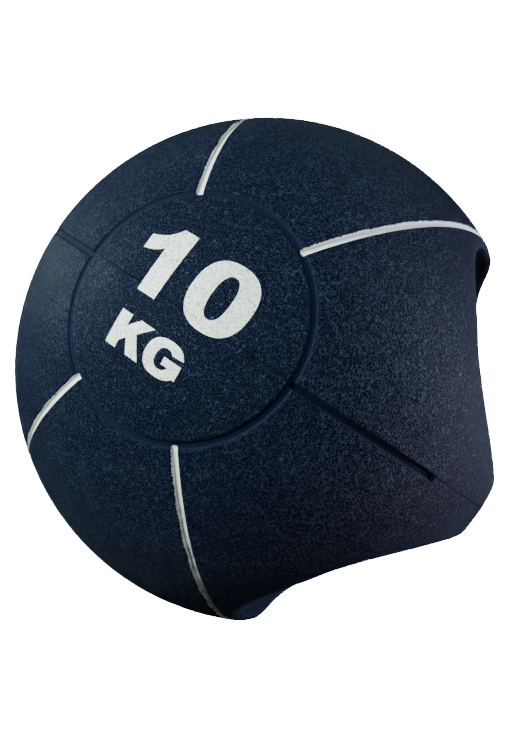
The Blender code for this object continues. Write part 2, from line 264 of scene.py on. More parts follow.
def mesh_object(name, bm):
    """An object with the finished bmesh in it."""
    bmesh.ops.recalc_face_normals(bm, faces=bm.faces)
    mesh = bpy.data.meshes.new(name)
    bm.to_mesh(mesh)
    bm.free()
    result = bpy.data.objects.new(name, mesh)
    bpy.context.scene.collection.objects.link(result)
    return result


def settle_modifiers(item):
    """Replace the object's mesh with what its modifiers make of it."""
    shaped = item.evaluated_get(bpy.context.evaluated_depsgraph_get())
    mesh = bpy.data.meshes.new_from_object(shaped)
    item.modifiers.clear()
    item.data = mesh


def cut_away(item, cutter):
    modifier = item.modifiers.new("cut", "BOOLEAN")
    modifier.operation = "DIFFERENCE"
    modifier.solver = "MANIFOLD"
    modifier.object = cutter
    settle_modifiers(item)


def turned(outline, steps):
    """An outline of (radius, distance towards the front) points, turned about the disc axis."""
    bm = bmesh.new()
    points = [bm.verts.new((radius, -front, 0.0)) for radius, front in outline]
    edges = [bm.edges.new(pair) for pair in zip(points, points[1:])]
    bmesh.ops.spin(
        bm, geom=points + edges, cent=(0, 0, 0), axis=(0, 1, 0), angle=2 * math.pi, steps=steps,
        use_merge=True,
    )
    bmesh.ops.remove_doubles(bm, verts=bm.verts, dist=1e-7)
    return bm


def ball_blank():
    """A turned sphere whose mesh lines are gathered along the ring grooves and the long grooves."""
    ring_lines = [DISC_ANGLE + i * 0.0004 / BALL_RADIUS for i in range(-6, 7)]
    disc_lines = list(np.linspace(0.0, ring_lines[0], 23))
    end_lines = [BARE_GROOVE_END + i * 0.0004 / BALL_RADIUS for i in range(-9, 4)]
    panel_lines = list(np.linspace(ring_lines[-1], end_lines[0], 34))
    equator_lines = list(np.linspace(end_lines[-1], math.pi / 2, 34))
    quarter = disc_lines[:-1] + ring_lines + panel_lines[1:-1] + end_lines + equator_lines[1:]
    angles = quarter + [math.pi - angle for angle in reversed(quarter[:-1])]
    outline = [(BALL_RADIUS * math.sin(angle), BALL_RADIUS * math.cos(angle)) for angle in angles]
    blank = mesh_object("ball_blank", turned(outline, STEPS_ROUND))
    points = mesh_points(blank.data)
    x, y, z = points.T
    polar, turn, number = sphere_angles(points)
    line = np.abs(turn) / (2 * math.pi / STEPS_ROUND)
    pitch = LINE_PITCH / (BALL_RADIUS * np.sin(np.maximum(polar, DISC_ANGLE)))
    shoulder = LINES_IN_GROOVE * pitch
    lines_beyond = STEPS_ROUND / 12 - LINES_IN_GROOVE
    beyond = shoulder + (line - LINES_IN_GROOVE) / lines_beyond * (SECTOR / 2 - shoulder)
    gathered = np.where(line < LINES_IN_GROOVE, line * pitch, beyond)
    azimuth = number * SECTOR + np.sign(turn) * gathered
    reach = np.hypot(x, z)
    points = np.stack([reach * np.cos(azimuth), y, reach * np.sin(azimuth)], axis=1)
    points *= (skin_radius(points) / BALL_RADIUS)[:, None]
    set_mesh_points(blank.data, points)
    return blank


def oval_points(level):
    """The outline of a well, as (front to back, up) points."""
    points = []
    for i in range(96):
        angle = 2 * math.pi * i / 96
        cosine, sine = math.cos(angle), math.sin(angle)
        to_rim = sine * level > 0
        reach = SCOOP_TO_RIM if to_rim else SCOOP_TO_GRIP
        power = RIM_SIDE_POWER if to_rim else GRIP_SIDE_POWER
        size = (abs(cosine) ** power + abs(sine) ** power) ** (-1.0 / power)
        points.append((SCOOP_HALF_LENGTH * size * cosine, level * SCOOP_LEVEL + reach * size * sine))
    return points


def recess_cutter(side):
    """The space of one recess, as a body of even mesh that runs out past the skin."""
    outside = 1.06 * BALL_RADIUS
    bm = bmesh.new()
    for level in (1, -1):
        foot = bm.faces.new([bm.verts.new((RECESS_FLOOR, y, z)) for y, z in oval_points(level)])
        raised = bmesh.ops.extrude_face_region(bm, geom=[foot], use_keep_orig=True)
        mouth = [item for item in raised["geom"] if isinstance(item, bmesh.types.BMVert)]
        bmesh.ops.translate(bm, vec=(outside - RECESS_FLOOR, 0, 0), verts=mouth)
    slot = bmesh.ops.create_cube(bm, size=1.0)["verts"]
    height = GRIP_UNDERSIDE - RECESS_FLOOR
    bmesh.ops.scale(bm, vec=(height, 2 * FINGER_GAP_HALF_LENGTH, 2 * SCOOP_LEVEL), verts=slot)
    bmesh.ops.translate(bm, vec=(RECESS_FLOOR + height / 2, 0, 0), verts=slot)
    if side < 0:
        bmesh.ops.rotate(bm, cent=(0, 0, 0), matrix=Matrix.Rotation(math.pi, 3, "Z"), verts=bm.verts)
    cutter = mesh_object(f"recess_cutter_{side}", bm)
    evened = cutter.modifiers.new("even mesh", "REMESH")
    evened.mode = "VOXEL"
    evened.voxel_size = REMESH_SIZE
    eased = cutter.modifiers.new("eased edges", "SMOOTH")
    eased.iterations = 4
    settle_modifiers(cutter)
    points = mesh_points(cutter.data)
    near = np.abs(recess_distance(points)) < 0.004
    points[near] = drawn_onto(recess_distance, points[near])
    set_mesh_points(cutter.data, points)
    return cutter


def hollow_cutter():
    """The middle of the ball and the bore from it to the valve plug."""
    mouth = math.asin(BORE_RADIUS / HOLLOW_RADIUS)
    outline = [(0.0, 1.1 * BALL_RADIUS), (BORE_RADIUS, 1.1 * BALL_RADIUS)]
    outline += [
        (HOLLOW_RADIUS * math.sin(angle), HOLLOW_RADIUS * math.cos(angle))
        for angle in np.linspace(mouth, math.pi, 36)
    ]
    bm = turned(outline, 48)
    bmesh.ops.rotate(bm, cent=(0, 0, 0), matrix=Matrix.Rotation(VALVE_ANGLE, 3, "Z"), verts=bm.verts)
    bmesh.ops.translate(bm, vec=(0, 0, PARTING_LEVEL), verts=bm.verts)
    return mesh_object("hollow_cutter", bm)


def half_block(side):
    """A block over one side of the parting plane."""
    bm = bmesh.new()
    bmesh.ops.create_cube(bm, size=1.0)
    size = 3 * BALL_RADIUS
    bmesh.ops.scale(bm, vec=(size, size, size), verts=bm.verts)
    middle = PARTING_LEVEL + side * (size / 2 - PARTING_GAP)
    bmesh.ops.translate(bm, vec=(0, 0, middle), verts=bm.verts)
    return mesh_object(f"half_block_{side}", bm)


def set_skin_normals(mesh, distance):
    """Shade the moulded skin by its true slope, and leave the cut faces inside as they are."""
    points = mesh_points(mesh)
    slope = slope_of(distance, points)
    slope /= np.maximum(np.linalg.norm(slope, axis=1), 1e-9)[:, None]
    on_skin = np.abs(distance(points)) < 0.0001
    normals = np.where(on_skin[:, None], slope, 0.0)
    mesh.normals_split_custom_set_from_vertices(normals.tolist())


def add_amount(mesh, name, amounts):
    """Keep a number for each vertex, for the material to read."""
    attribute = mesh.attributes.new(name, "FLOAT", "POINT")
    attribute.data.foreach_set("value", amounts.astype(np.float32))


def grain_amounts(points):
    """Full grain on the panels, none in the grooves, and little towards and inside the recesses."""
    polar, turn, number = sphere_angles(points)
    ring_offset = np.abs(BALL_RADIUS * (polar - DISC_ANGLE))
    groove_offset = np.abs(BALL_RADIUS * np.sin(polar) * turn)
    no_groove = (polar < DISC_ANGLE) | ((number % 3 == 0) & (polar > BARE_GROOVE_END))
    groove_offset = np.where(no_groove, 1.0, groove_offset)
    off_grooves = smooth_step(np.minimum(ring_offset, groove_offset), SMOOTH_WITHIN, GRAINED_BEYOND)
    off_recess = smooth_step(recess_distance(points), 0.002, 0.022)
    return off_grooves * (GRAIN_IN_RECESS + (1.0 - GRAIN_IN_RECESS) * off_recess)


def moulded_rubber(name, deep, highlight_and_bloom, grain_height):
    """Navy rubber with a leathery moulded grain, a pale painted highlight on its crests in clouds like
    bloom, painted shade in its pits and a shine from handling.
    """
    result = bpy.data.materials.new(name)
    result.use_nodes = True
    tree = result.node_tree
    tree.nodes.clear()

    place = tree.nodes.new("ShaderNodeTexCoord")
    place.label = "place on the ball"
    grain_share = tree.nodes.new("ShaderNodeAttribute")
    grain_share.label = "how much grain the mould has here"

    worms = tree.nodes.new("ShaderNodeTexNoise")
    worms.label = "wandering ridges of the grain"
    from_middle = tree.nodes.new("ShaderNodeMath")
    from_middle.label = "ridges run where this is nought"
    either_side = tree.nodes.new("ShaderNodeMath")
    either_side.label = "distance from a ridge"
    ridges = tree.nodes.new("ShaderNodeMapRange")
    ridges.label = "rounded ridges between pits"
    pores = tree.nodes.new("ShaderNodeTexNoise")
    pores.label = "fine pores"
    skin_height = tree.nodes.new("ShaderNodeMath")
    skin_height.label = "ridges with pores"
    grain_here = tree.nodes.new("ShaderNodeMath")
    grain_here.label = "grain faded out in grooves"
    grain_relief = tree.nodes.new("ShaderNodeBump")
    grain_relief.label = "height of the grain"
    waves = tree.nodes.new("ShaderNodeTexNoise")
    waves.label = "slow waves of the moulding"
    wave_relief = tree.nodes.new("ShaderNodeBump")
    wave_relief.label = "height of the waves"

    # The pale colour on the grain's crests is a painted highlight standing in for glints off the
    # ridges; the clouds make it patchy like bloom.
    cloud = tree.nodes.new("ShaderNodeTexNoise")
    cloud.label = "clouds of bloom"
    highlight_and_bloom_share = tree.nodes.new("ShaderNodeMapRange")
    highlight_and_bloom_share.label = "where bloom has come up"
    crest = tree.nodes.new("ShaderNodeMapRange")
    crest.label = "narrow painted highlight on the crest"
    crest_highlight_here = tree.nodes.new("ShaderNodeMath")
    crest_highlight_here.label = "no crests in grooves"
    highlight_on_ridges = tree.nodes.new("ShaderNodeMath")
    highlight_on_ridges.label = "bloom rubbed onto crests"
    colour = tree.nodes.new("ShaderNodeMix")
    colour.label = "deep rubber or bloom"
    level = tree.nodes.new("ShaderNodeSeparateXYZ")
    level.label = "height on the ball"
    above_seam = tree.nodes.new("ShaderNodeMath")
    above_seam.label = "height over the parting line"
    beside_seam = tree.nodes.new("ShaderNodeMath")
    beside_seam.label = "distance from the parting line"
    seam = tree.nodes.new("ShaderNodeMapRange")
    seam.label = "hairline of the parting"
    # The darker base colour in the grain's pits is painted shade; the dark hairline along the parting
    # line is the seam's own colour.
    pit_share = tree.nodes.new("ShaderNodeMix")
    pit_share.label = "pits only where there is grain"
    pitted = tree.nodes.new("ShaderNodeMath")
    pitted.label = "where grain and seam let light in"
    shaded = tree.nodes.new("ShaderNodeMix")
    shaded.label = "painted shade in pits"
    glint = tree.nodes.new("ShaderNodeMath")
    glint.label = "no glint from pits"

    wear = tree.nodes.new("ShaderNodeTexNoise")
    wear.label = "patches rubbed by hands"
    gloss = tree.nodes.new("ShaderNodeMapRange")
    gloss.label = "dull to rubbed"
    roughness = tree.nodes.new("ShaderNodeMath")
    roughness.label = "duller where the grain stops"

    rubber = tree.nodes.new("ShaderNodeBsdfPrincipled")
    rubber.label = "rubber"
    output = tree.nodes.new("ShaderNodeOutputMaterial")

    grain_frame = tree.nodes.new("NodeFrame")
    grain_frame.label = "grain"
    grain_nodes = (
        worms, from_middle, either_side, ridges, pores,
        skin_height, grain_here, grain_relief, waves, wave_relief,
    )
    for node in grain_nodes:
        node.parent = grain_frame
    highlight_and_bloom_frame = tree.nodes.new("NodeFrame")
    highlight_and_bloom_frame.label = "highlight_and_bloom"
    highlight_and_bloom_nodes = (cloud, highlight_and_bloom_share, crest, crest_highlight_here, highlight_on_ridges, colour)
    for node in highlight_and_bloom_nodes:
        node.parent = highlight_and_bloom_frame
    pit_frame = tree.nodes.new("NodeFrame")
    pit_frame.label = "painted shade in pits and dark parting line"
    pit_nodes = (level, above_seam, beside_seam, seam, pit_share, pitted, shaded, glint)
    for node in pit_nodes:
        node.parent = pit_frame
    shine_frame = tree.nodes.new("NodeFrame")
    shine_frame.label = "shine"
    for node in (wear, gloss, roughness):
        node.parent = shine_frame
    place.location = (-1500, 0)
    grain_share.location = (-1500, -300)
    for i, node in enumerate(grain_nodes):
        node.location = (-1200 + 190 * i, -400 - 60 * (i % 2))
    for i, node in enumerate(highlight_and_bloom_nodes):
        node.location = (-900 + 190 * i, 350)
    for i, node in enumerate(pit_nodes):
        node.location = (-1100 + 190 * i, 700)
    for i, node in enumerate((wear, gloss, roughness)):
        node.location = (-700 + 190 * i, 50)
    rubber.location = (450, 100)
    output.location = (750, 100)

    grain_share.attribute_name = "grain"
    worms.inputs["Scale"].default_value = 900.0
    worms.inputs["Detail"].default_value = 0.0
    worms.inputs["Roughness"].default_value = 0.45
    worms.inputs["Distortion"].default_value = 0.3
    from_middle.operation = "SUBTRACT"
    from_middle.inputs[1].default_value = 0.5
    either_side.operation = "ABSOLUTE"
    ridges.interpolation_type = "SMOOTHSTEP"
    ridges.inputs["From Min"].default_value = 0.0
    ridges.inputs["From Max"].default_value = 0.13
    ridges.inputs["To Min"].default_value = 1.0
    ridges.inputs["To Max"].default_value = 0.25
    pores.inputs["Scale"].default_value = 4200.0
    pores.inputs["Detail"].default_value = 1.0
    skin_height.operation = "MULTIPLY_ADD"
    skin_height.inputs[1].default_value = 0.15
    grain_here.operation = "MULTIPLY"
    grain_relief.inputs["Strength"].default_value = 1.0
    grain_relief.inputs["Distance"].default_value = grain_height
    waves.inputs["Scale"].default_value = 24.0
    waves.inputs["Detail"].default_value = 2.0
    wave_relief.inputs["Strength"].default_value = 1.0
    wave_relief.inputs["Distance"].default_value = 0.0004

    cloud.inputs["Scale"].default_value = 13.0
    cloud.inputs["Detail"].default_value = 4.0
    cloud.inputs["Roughness"].default_value = 0.6
    highlight_and_bloom_share.inputs["From Min"].default_value = 0.35
    highlight_and_bloom_share.inputs["From Max"].default_value = 0.8
    highlight_and_bloom_share.inputs["To Min"].default_value = 0.45
    crest.interpolation_type = "SMOOTHSTEP"
    crest.inputs["From Min"].default_value = 0.0
    crest.inputs["From Max"].default_value = 0.08
    crest.inputs["To Min"].default_value = 1.0
    crest.inputs["To Max"].default_value = 0.0
    crest_highlight_here.operation = "MULTIPLY"
    highlight_on_ridges.operation = "MULTIPLY"
    colour.data_type = "RGBA"
    colour.inputs["A"].default_value = (*deep, 1.0)
    colour.inputs["B"].default_value = (*highlight_and_bloom, 1.0)
    above_seam.operation = "SUBTRACT"
    above_seam.inputs[1].default_value = PARTING_LEVEL
    beside_seam.operation = "ABSOLUTE"
    seam.inputs["From Min"].default_value = 0.00005
    seam.inputs["From Max"].default_value = 0.00050
    seam.inputs["To Min"].default_value = 0.15
    pit_share.data_type = "FLOAT"
    pit_share.inputs["A"].default_value = 0.6
    pitted.operation = "MULTIPLY"
    shaded.data_type = "RGBA"
    shaded.inputs["A"].default_value = (0.45 * deep[0], 0.45 * deep[1], 0.50 * deep[2], 1.0)
    glint.operation = "MULTIPLY"
    glint.inputs[1].default_value = 0.13
    wear.inputs["Scale"].default_value = 30.0
    wear.inputs["Detail"].default_value = 3.0
    gloss.inputs["From Min"].default_value = 0.3
    gloss.inputs["From Max"].default_value = 0.7
    gloss.inputs["To Min"].default_value = 0.62
    gloss.inputs["To Max"].default_value = 0.74
    roughness.operation = "MULTIPLY_ADD"
    roughness.use_clamp = True
    roughness.inputs[1].default_value = -0.22
    rubber.inputs["IOR"].default_value = 1.5
    rubber.inputs["Specular Tint"].default_value = (0.55, 0.80, 1.0, 1.0)
    rubber.inputs["Sheen Weight"].default_value = 0.02
    rubber.inputs["Sheen Roughness"].default_value = 0.5
    rubber.inputs["Sheen Tint"].default_value = (0.55, 0.62, 0.75, 1.0)

    tree.links.new(place.outputs["Object"], worms.inputs["Vector"])
    tree.links.new(worms.outputs["Fac"], from_middle.inputs[0])
    tree.links.new(from_middle.outputs["Value"], either_side.inputs[0])
    tree.links.new(either_side.outputs["Value"], ridges.inputs["Value"])
    tree.links.new(place.outputs["Object"], pores.inputs["Vector"])
    tree.links.new(pores.outputs["Fac"], skin_height.inputs[0])
    tree.links.new(ridges.outputs["Result"], skin_height.inputs[2])
    tree.links.new(skin_height.outputs["Value"], grain_here.inputs[0])
    tree.links.new(grain_share.outputs["Fac"], grain_here.inputs[1])
    tree.links.new(grain_here.outputs["Value"], grain_relief.inputs["Height"])
    tree.links.new(place.outputs["Object"], waves.inputs["Vector"])
    tree.links.new(waves.outputs["Fac"], wave_relief.inputs["Height"])
    tree.links.new(wave_relief.outputs["Normal"], grain_relief.inputs["Normal"])
    tree.links.new(place.outputs["Object"], cloud.inputs["Vector"])
    tree.links.new(cloud.outputs["Fac"], highlight_and_bloom_share.inputs["Value"])
    tree.links.new(highlight_and_bloom_share.outputs["Result"], highlight_on_ridges.inputs[0])
    tree.links.new(either_side.outputs["Value"], crest.inputs["Value"])
    tree.links.new(crest.outputs["Result"], crest_highlight_here.inputs[0])
    tree.links.new(grain_share.outputs["Fac"], crest_highlight_here.inputs[1])
    tree.links.new(crest_highlight_here.outputs["Value"], highlight_on_ridges.inputs[1])
    tree.links.new(highlight_on_ridges.outputs["Value"], colour.inputs["Factor"])
    tree.links.new(place.outputs["Object"], wear.inputs["Vector"])
    tree.links.new(wear.outputs["Fac"], gloss.inputs["Value"])
    tree.links.new(place.outputs["Object"], level.inputs["Vector"])
    tree.links.new(level.outputs["Z"], above_seam.inputs[0])
    tree.links.new(above_seam.outputs["Value"], beside_seam.inputs[0])
    tree.links.new(beside_seam.outputs["Value"], seam.inputs["Value"])
    tree.links.new(seam.outputs["Result"], pitted.inputs[0])
    tree.links.new(grain_share.outputs["Fac"], pit_share.inputs["Factor"])
    tree.links.new(ridges.outputs["Result"], pit_share.inputs["B"])
    tree.links.new(pit_share.outputs["Result"], pitted.inputs[1])
    tree.links.new(pitted.outputs["Value"], shaded.inputs["Factor"])
    tree.links.new(colour.outputs["Result"], shaded.inputs["B"])
    tree.links.new(pitted.outputs["Value"], glint.inputs[0])
    tree.links.new(shaded.outputs["Result"], rubber.inputs["Base Color"])
    tree.links.new(glint.outputs["Value"], rubber.inputs["Specular IOR Level"])
    tree.links.new(grain_share.outputs["Fac"], roughness.inputs[0])
    tree.links.new(gloss.outputs["Result"], roughness.inputs[2])
    tree.links.new(roughness.outputs["Value"], rubber.inputs["Roughness"])
    tree.links.new(grain_relief.outputs["Normal"], rubber.inputs["Normal"])
    tree.links.new(rubber.outputs["BSDF"], output.inputs["Surface"])
    return result


ball = ball_blank()
cutters = [recess_cutter(1), recess_cutter(-1), hollow_cutter()]
for cutter in cutters:
    cut_away(ball, cutter)
ball_points = mesh_points(ball.data)
outside_hollow = np.linalg.norm(ball_points, axis=1) > 1.05 * HOLLOW_RADIUS
by_recess = outside_hollow & (recess_distance(ball_points) < RIM_REACH)
ball_points[by_recess] = drawn_onto(rubber_distance, ball_points[by_recess])
set_mesh_points(ball.data, ball_points)

# The first colour is the rubber's own; the second is the painted highlight on the grain's crests.
shell_rubber = moulded_rubber(
    "navy_moulded_rubber", deep=(0.0024, 0.0050, 0.0190), highlight_and_bloom=(0.0330, 0.0520, 0.0950),
    grain_height=0.0010,
)
for shell_name, other_side in (("shell_upper", -1), ("shell_lower", 1)):
    shell = bpy.data.objects.new(f"rubber_{shell_name}", ball.data.copy())
    bpy.context.scene.collection.objects.link(shell)
    block = half_block(other_side)
    cut_away(shell, block)
    bpy.data.objects.remove(block)
    shell.data.materials.clear()
    shell.data.materials.append(shell_rubber)
    shell.data.shade_smooth()
    set_skin_normals(shell.data, rubber_distance)
    add_amount(shell.data, "grain", grain_amounts(mesh_points(shell.data)))
    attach(shell, "root")
    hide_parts(shell_name)
for leftover in (ball, *cutters):
    bpy.data.objects.remove(leftover)


# Valve plug. A self-sealing plug of softer rubber is pressed into the bore on the parting plane, with
# its smooth head just under the skin and a pit where the pump's needle goes in.

PLUG_RADIUS = (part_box("valve_plug")[1].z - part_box("valve_plug")[0].z) / 2
PLUG_LENGTH = 0.024
PLUG_SUNK = 0.0001
NEEDLE_PIT = 0.0004

foot, head = BALL_RADIUS - PLUG_LENGTH, BALL_RADIUS - PLUG_SUNK
plug_outline = [
    (0.0, foot), (PLUG_RADIUS - 0.0003, foot), (PLUG_RADIUS, foot + 0.0003),
    (PLUG_RADIUS, head - 0.0004), (PLUG_RADIUS - 0.0001, head - 0.0002),
    (PLUG_RADIUS - 0.0004, head - 0.0001), (0.5 * PLUG_RADIUS, head),
    (NEEDLE_PIT, head - 0.0001), (0.5 * NEEDLE_PIT, head - 0.0008), (0.0, head - 0.0010),
]
plug_mesh = turned(plug_outline, 40)
towards_valve = Matrix.Rotation(VALVE_ANGLE, 3, "Z")
bmesh.ops.rotate(plug_mesh, cent=(0, 0, 0), matrix=towards_valve, verts=plug_mesh.verts)
bmesh.ops.translate(plug_mesh, vec=(0, 0, PARTING_LEVEL), verts=plug_mesh.verts)
plug = mesh_object("valve_plug_rubber", plug_mesh)
plug.data.shade_smooth()
plug.data.set_sharp_from_angle(angle=math.radians(50))
add_amount(plug.data, "grain", np.full(len(plug.data.vertices), 0.45))
# Here too the second colour is the painted highlight on the grain's crests.
plug.data.materials.append(moulded_rubber(
    "smooth_plug_rubber", deep=(0.0022, 0.0045, 0.0165), highlight_and_bloom=(0.0260, 0.0400, 0.0740),
    grain_height=0.0007,
))
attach(plug, "root")
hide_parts("valve_plug")


# White lines. Paint is brushed by hand into four of the long grooves, from ring to ring. It covers
# floor and walls, creeps over the shoulders onto the grain, and yellows and soils with use. The
# darkening that grows along each line from the front ring is partly painted shade.

PAINT_HALF_WIDTH = 0.0016
PAINT_THICKNESS = 0.00012
FILM_GAP = 0.00003
PAINT_STEPS = 640
# The last number sets how far each line darkens along its length, grime and painted shade together.
PAINT_LINES = {
    "right_upper": (math.radians(60), 1, 0.20),
    "left_upper": (math.radians(120), 1, 0.35),
    "left_lower": (math.radians(240), -1, 0.10),
    "right_lower": (math.radians(300), -1, 0.75),
}


def line_paint(name, grime_and_shade):
    """Brushed white paint with ragged cover over the grain, yellowing, grime and painted shade."""
    result = bpy.data.materials.new(name)
    result.use_nodes = True
    tree = result.node_tree
    tree.nodes.clear()

    place = tree.nodes.new("ShaderNodeTexCoord")
    place.label = "place on the ball"
    along = tree.nodes.new("ShaderNodeAttribute")
    along.label = "how soiled this stretch is"
    # Grime patches spread along the line, and their darkening there is partly painted shade.
    grime = tree.nodes.new("ShaderNodeTexNoise")
    grime.label = "patches of grime"
    grime_share = tree.nodes.new("ShaderNodeMapRange")
    grime_share.label = "how far grime covers"
    grime_and_shade_here = tree.nodes.new("ShaderNodeMath")
    grime_and_shade_here.label = "grime on soiled stretches"
    grimed_and_shaded = tree.nodes.new("ShaderNodeMix")
    grimed_and_shaded.label = "clean or soiled"
    crumbs = tree.nodes.new("ShaderNodeTexNoise")
    crumbs.label = "crumbly paint film"
    crumb_share = tree.nodes.new("ShaderNodeMapRange")
    crumb_share.label = "thin spots"
    thin = tree.nodes.new("ShaderNodeMix")
    thin.label = "full cover or thin"
    relief = tree.nodes.new("ShaderNodeBump")
    relief.label = "height of the paint film"
    paint = tree.nodes.new("ShaderNodeBsdfPrincipled")
    paint.label = "paint"
    output = tree.nodes.new("ShaderNodeOutputMaterial")

    grime_frame = tree.nodes.new("NodeFrame")
    grime_frame.label = "grime"
    for node in (along, grime, grime_share, grime_and_shade_here, grimed_and_shaded):
        node.parent = grime_frame
    film_frame = tree.nodes.new("NodeFrame")
    film_frame.label = "paint film"
    for node in (crumbs, crumb_share, thin, relief):
        node.parent = film_frame
    place.location = (-1300, 0)
    for i, node in enumerate((along, grime, grime_share, grime_and_shade_here, grimed_and_shaded)):
        node.location = (-1000 + 200 * i, 300)
    for i, node in enumerate((crumbs, crumb_share, thin, relief)):
        node.location = (-800 + 200 * i, -200)
    paint.location = (250, 0)
    output.location = (550, 0)

    along.attribute_name = "grime_and_shade"
    grime.inputs["Scale"].default_value = 160.0
    grime.inputs["Detail"].default_value = 5.0
    grime.inputs["Roughness"].default_value = 0.65
    grime_share.inputs["From Min"].default_value = 0.62 - 0.3 * grime_and_shade
    grime_share.inputs["From Max"].default_value = 0.85 - 0.2 * grime_and_shade
    grime_and_shade_here.operation = "MULTIPLY"
    grime_and_shade_here.use_clamp = True
    grimed_and_shaded.data_type = "RGBA"
    grimed_and_shaded.inputs["A"].default_value = (0.80, 0.82, 0.80, 1.0)
    grimed_and_shaded.inputs["B"].default_value = (0.30, 0.26, 0.22, 1.0)
    crumbs.inputs["Scale"].default_value = 1250.0
    crumbs.inputs["Detail"].default_value = 1.0
    crumbs.inputs["Distortion"].default_value = 0.5
    crumb_share.inputs["From Min"].default_value = 0.33
    crumb_share.inputs["From Max"].default_value = 0.48
    crumb_share.inputs["To Min"].default_value = 0.22
    crumb_share.inputs["To Max"].default_value = 0.0
    thin.data_type = "RGBA"
    thin.inputs["B"].default_value = (0.42, 0.43, 0.42, 1.0)
    relief.inputs["Strength"].default_value = 1.0
    relief.inputs["Distance"].default_value = 0.00012
    paint.inputs["Roughness"].default_value = 0.45

    tree.links.new(place.outputs["Object"], grime.inputs["Vector"])
    tree.links.new(grime.outputs["Fac"], grime_share.inputs["Value"])
    tree.links.new(grime_share.outputs["Result"], grime_and_shade_here.inputs[0])
    tree.links.new(along.outputs["Fac"], grime_and_shade_here.inputs[1])
    tree.links.new(grime_and_shade_here.outputs["Value"], grimed_and_shaded.inputs["Factor"])
    tree.links.new(place.outputs["Object"], crumbs.inputs["Vector"])
    tree.links.new(crumbs.outputs["Fac"], crumb_share.inputs["Value"])
    tree.links.new(crumb_share.outputs["Result"], thin.inputs["Factor"])
    tree.links.new(grimed_and_shaded.outputs["Result"], thin.inputs["A"])
    tree.links.new(crumbs.outputs["Fac"], relief.inputs["Height"])
    tree.links.new(thin.outputs["Result"], paint.inputs["Base Color"])
    tree.links.new(relief.outputs["Normal"], paint.inputs["Normal"])
    tree.links.new(paint.outputs["BSDF"], output.inputs["Surface"])
    return result


def brushed_edge(distance, seed, ragged):
    """Half width of the paint at each distance along its line, as the brush and the grain left it."""
    sway = np.array([noise.noise(Vector((d / 0.009, seed, 0.0))) for d in distance])
    ripple = np.array([noise.noise(Vector((d / 0.0025, seed, 5.0))) for d in distance])
    crumble = np.array([noise.noise(Vector((d / 0.0007, seed, 9.0))) for d in distance])
    return PAINT_HALF_WIDTH + 0.00025 * sway + 0.00018 * ripple + ragged * crumble


def paint_strip(name, azimuth, ragged_side, seed):
    """A film over a groove's floor, walls and shoulders, with uneven edges and rounded ends."""
    bm = bmesh.new()
    section = [bm.verts.new((0, -BALL_RADIUS, z)) for z in np.linspace(-1, 1, 15) * PAINT_HALF_WIDTH]
    edges = [bm.edges.new(pair) for pair in zip(section, section[1:])]
    start = DISC_ANGLE - 0.0002 / BALL_RADIUS
    bmesh.ops.rotate(bm, cent=(0, 0, 0), matrix=Matrix.Rotation(start, 3, "Z"), verts=bm.verts)
    bmesh.ops.spin(
        bm, geom=section + edges, cent=(0, 0, 0), axis=(0, 0, 1), angle=math.pi - 2 * start,
        steps=PAINT_STEPS, use_merge=False,
    )
    strip = mesh_object(name, bm)
    x, y, z = mesh_points(strip.data).T
    polar = np.arctan2(x, -y)
    share = z / PAINT_HALF_WIDTH
    stops = np.linspace(start, math.pi - start, PAINT_STEPS + 1)
    ragged = brushed_edge(stops * BALL_RADIUS, seed, 0.00045)
    even = brushed_edge(stops * BALL_RADIUS, seed + 40, 0.00012)
    on_ragged_side = share * ragged_side > 0
    reach = np.where(on_ragged_side, np.interp(polar, stops, ragged), np.interp(polar, stops, even))
    from_end = BALL_RADIUS * np.minimum(polar - start, math.pi - start - polar)
    tip = np.clip(1.0 - from_end / PAINT_HALF_WIDTH, 0.0, 1.0)
    across = share * reach * np.sqrt(np.maximum(1.0 - tip * tip, 0.0004))
    points = np.stack([BALL_RADIUS * np.sin(polar), -BALL_RADIUS * np.cos(polar), across], axis=1)
    turn = np.array(Matrix.Rotation(-azimuth, 3, "Y"))
    points = points @ turn.T
    points /= np.linalg.norm(points, axis=1)[:, None]
    points *= (skin_radius(points * BALL_RADIUS) + FILM_GAP)[:, None]
    set_mesh_points(strip.data, points)
    bm = bmesh.new()
    bm.from_mesh(strip.data)
    raised = bmesh.ops.extrude_face_region(bm, geom=bm.faces[:], use_keep_orig=True)
    top = [item for item in raised["geom"] if isinstance(item, bmesh.types.BMVert)]
    grown = 1.0 + PAINT_THICKNESS / BALL_RADIUS
    bmesh.ops.scale(bm, vec=(grown, grown, grown), verts=top)
    bmesh.ops.recalc_face_normals(bm, faces=bm.faces)
    bm.to_mesh(strip.data)
    bm.free()
    return strip


for seed, (side_name, (azimuth, ragged_side, grime_and_shade)) in enumerate(PAINT_LINES.items()):
    strip = paint_strip(f"white_line_{side_name}", azimuth, ragged_side, 3.0 + 7.0 * seed)
    strip.data.shade_smooth()
    strip.data.set_sharp_from_angle(angle=math.radians(60))
    strip_polar = sphere_angles(mesh_points(strip.data))[0]
    # The darkening along each line away from the front ring is partly painted shade; on the lower right
    # line it stands for its groove turning away from the light.
    soiled_and_shaded = np.clip(0.35 + grime_and_shade * smooth_step(strip_polar, DISC_ANGLE, DISC_ANGLE + 0.5), 0.0, 1.0)
    add_amount(strip.data, "grime_and_shade", soiled_and_shaded)
    strip.data.materials.append(line_paint(f"white_paint_{side_name}", grime_and_shade))
    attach(strip, "root")
    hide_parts(f"paint_line_{side_name}")


# Weight marks. Each is a film of white ink, pad-printed over the grain after moulding, so the grain
# shows through it. Both discs say 10 KG.

INK_THICKNESS = 0.00006
INK_PITCH = 0.0012


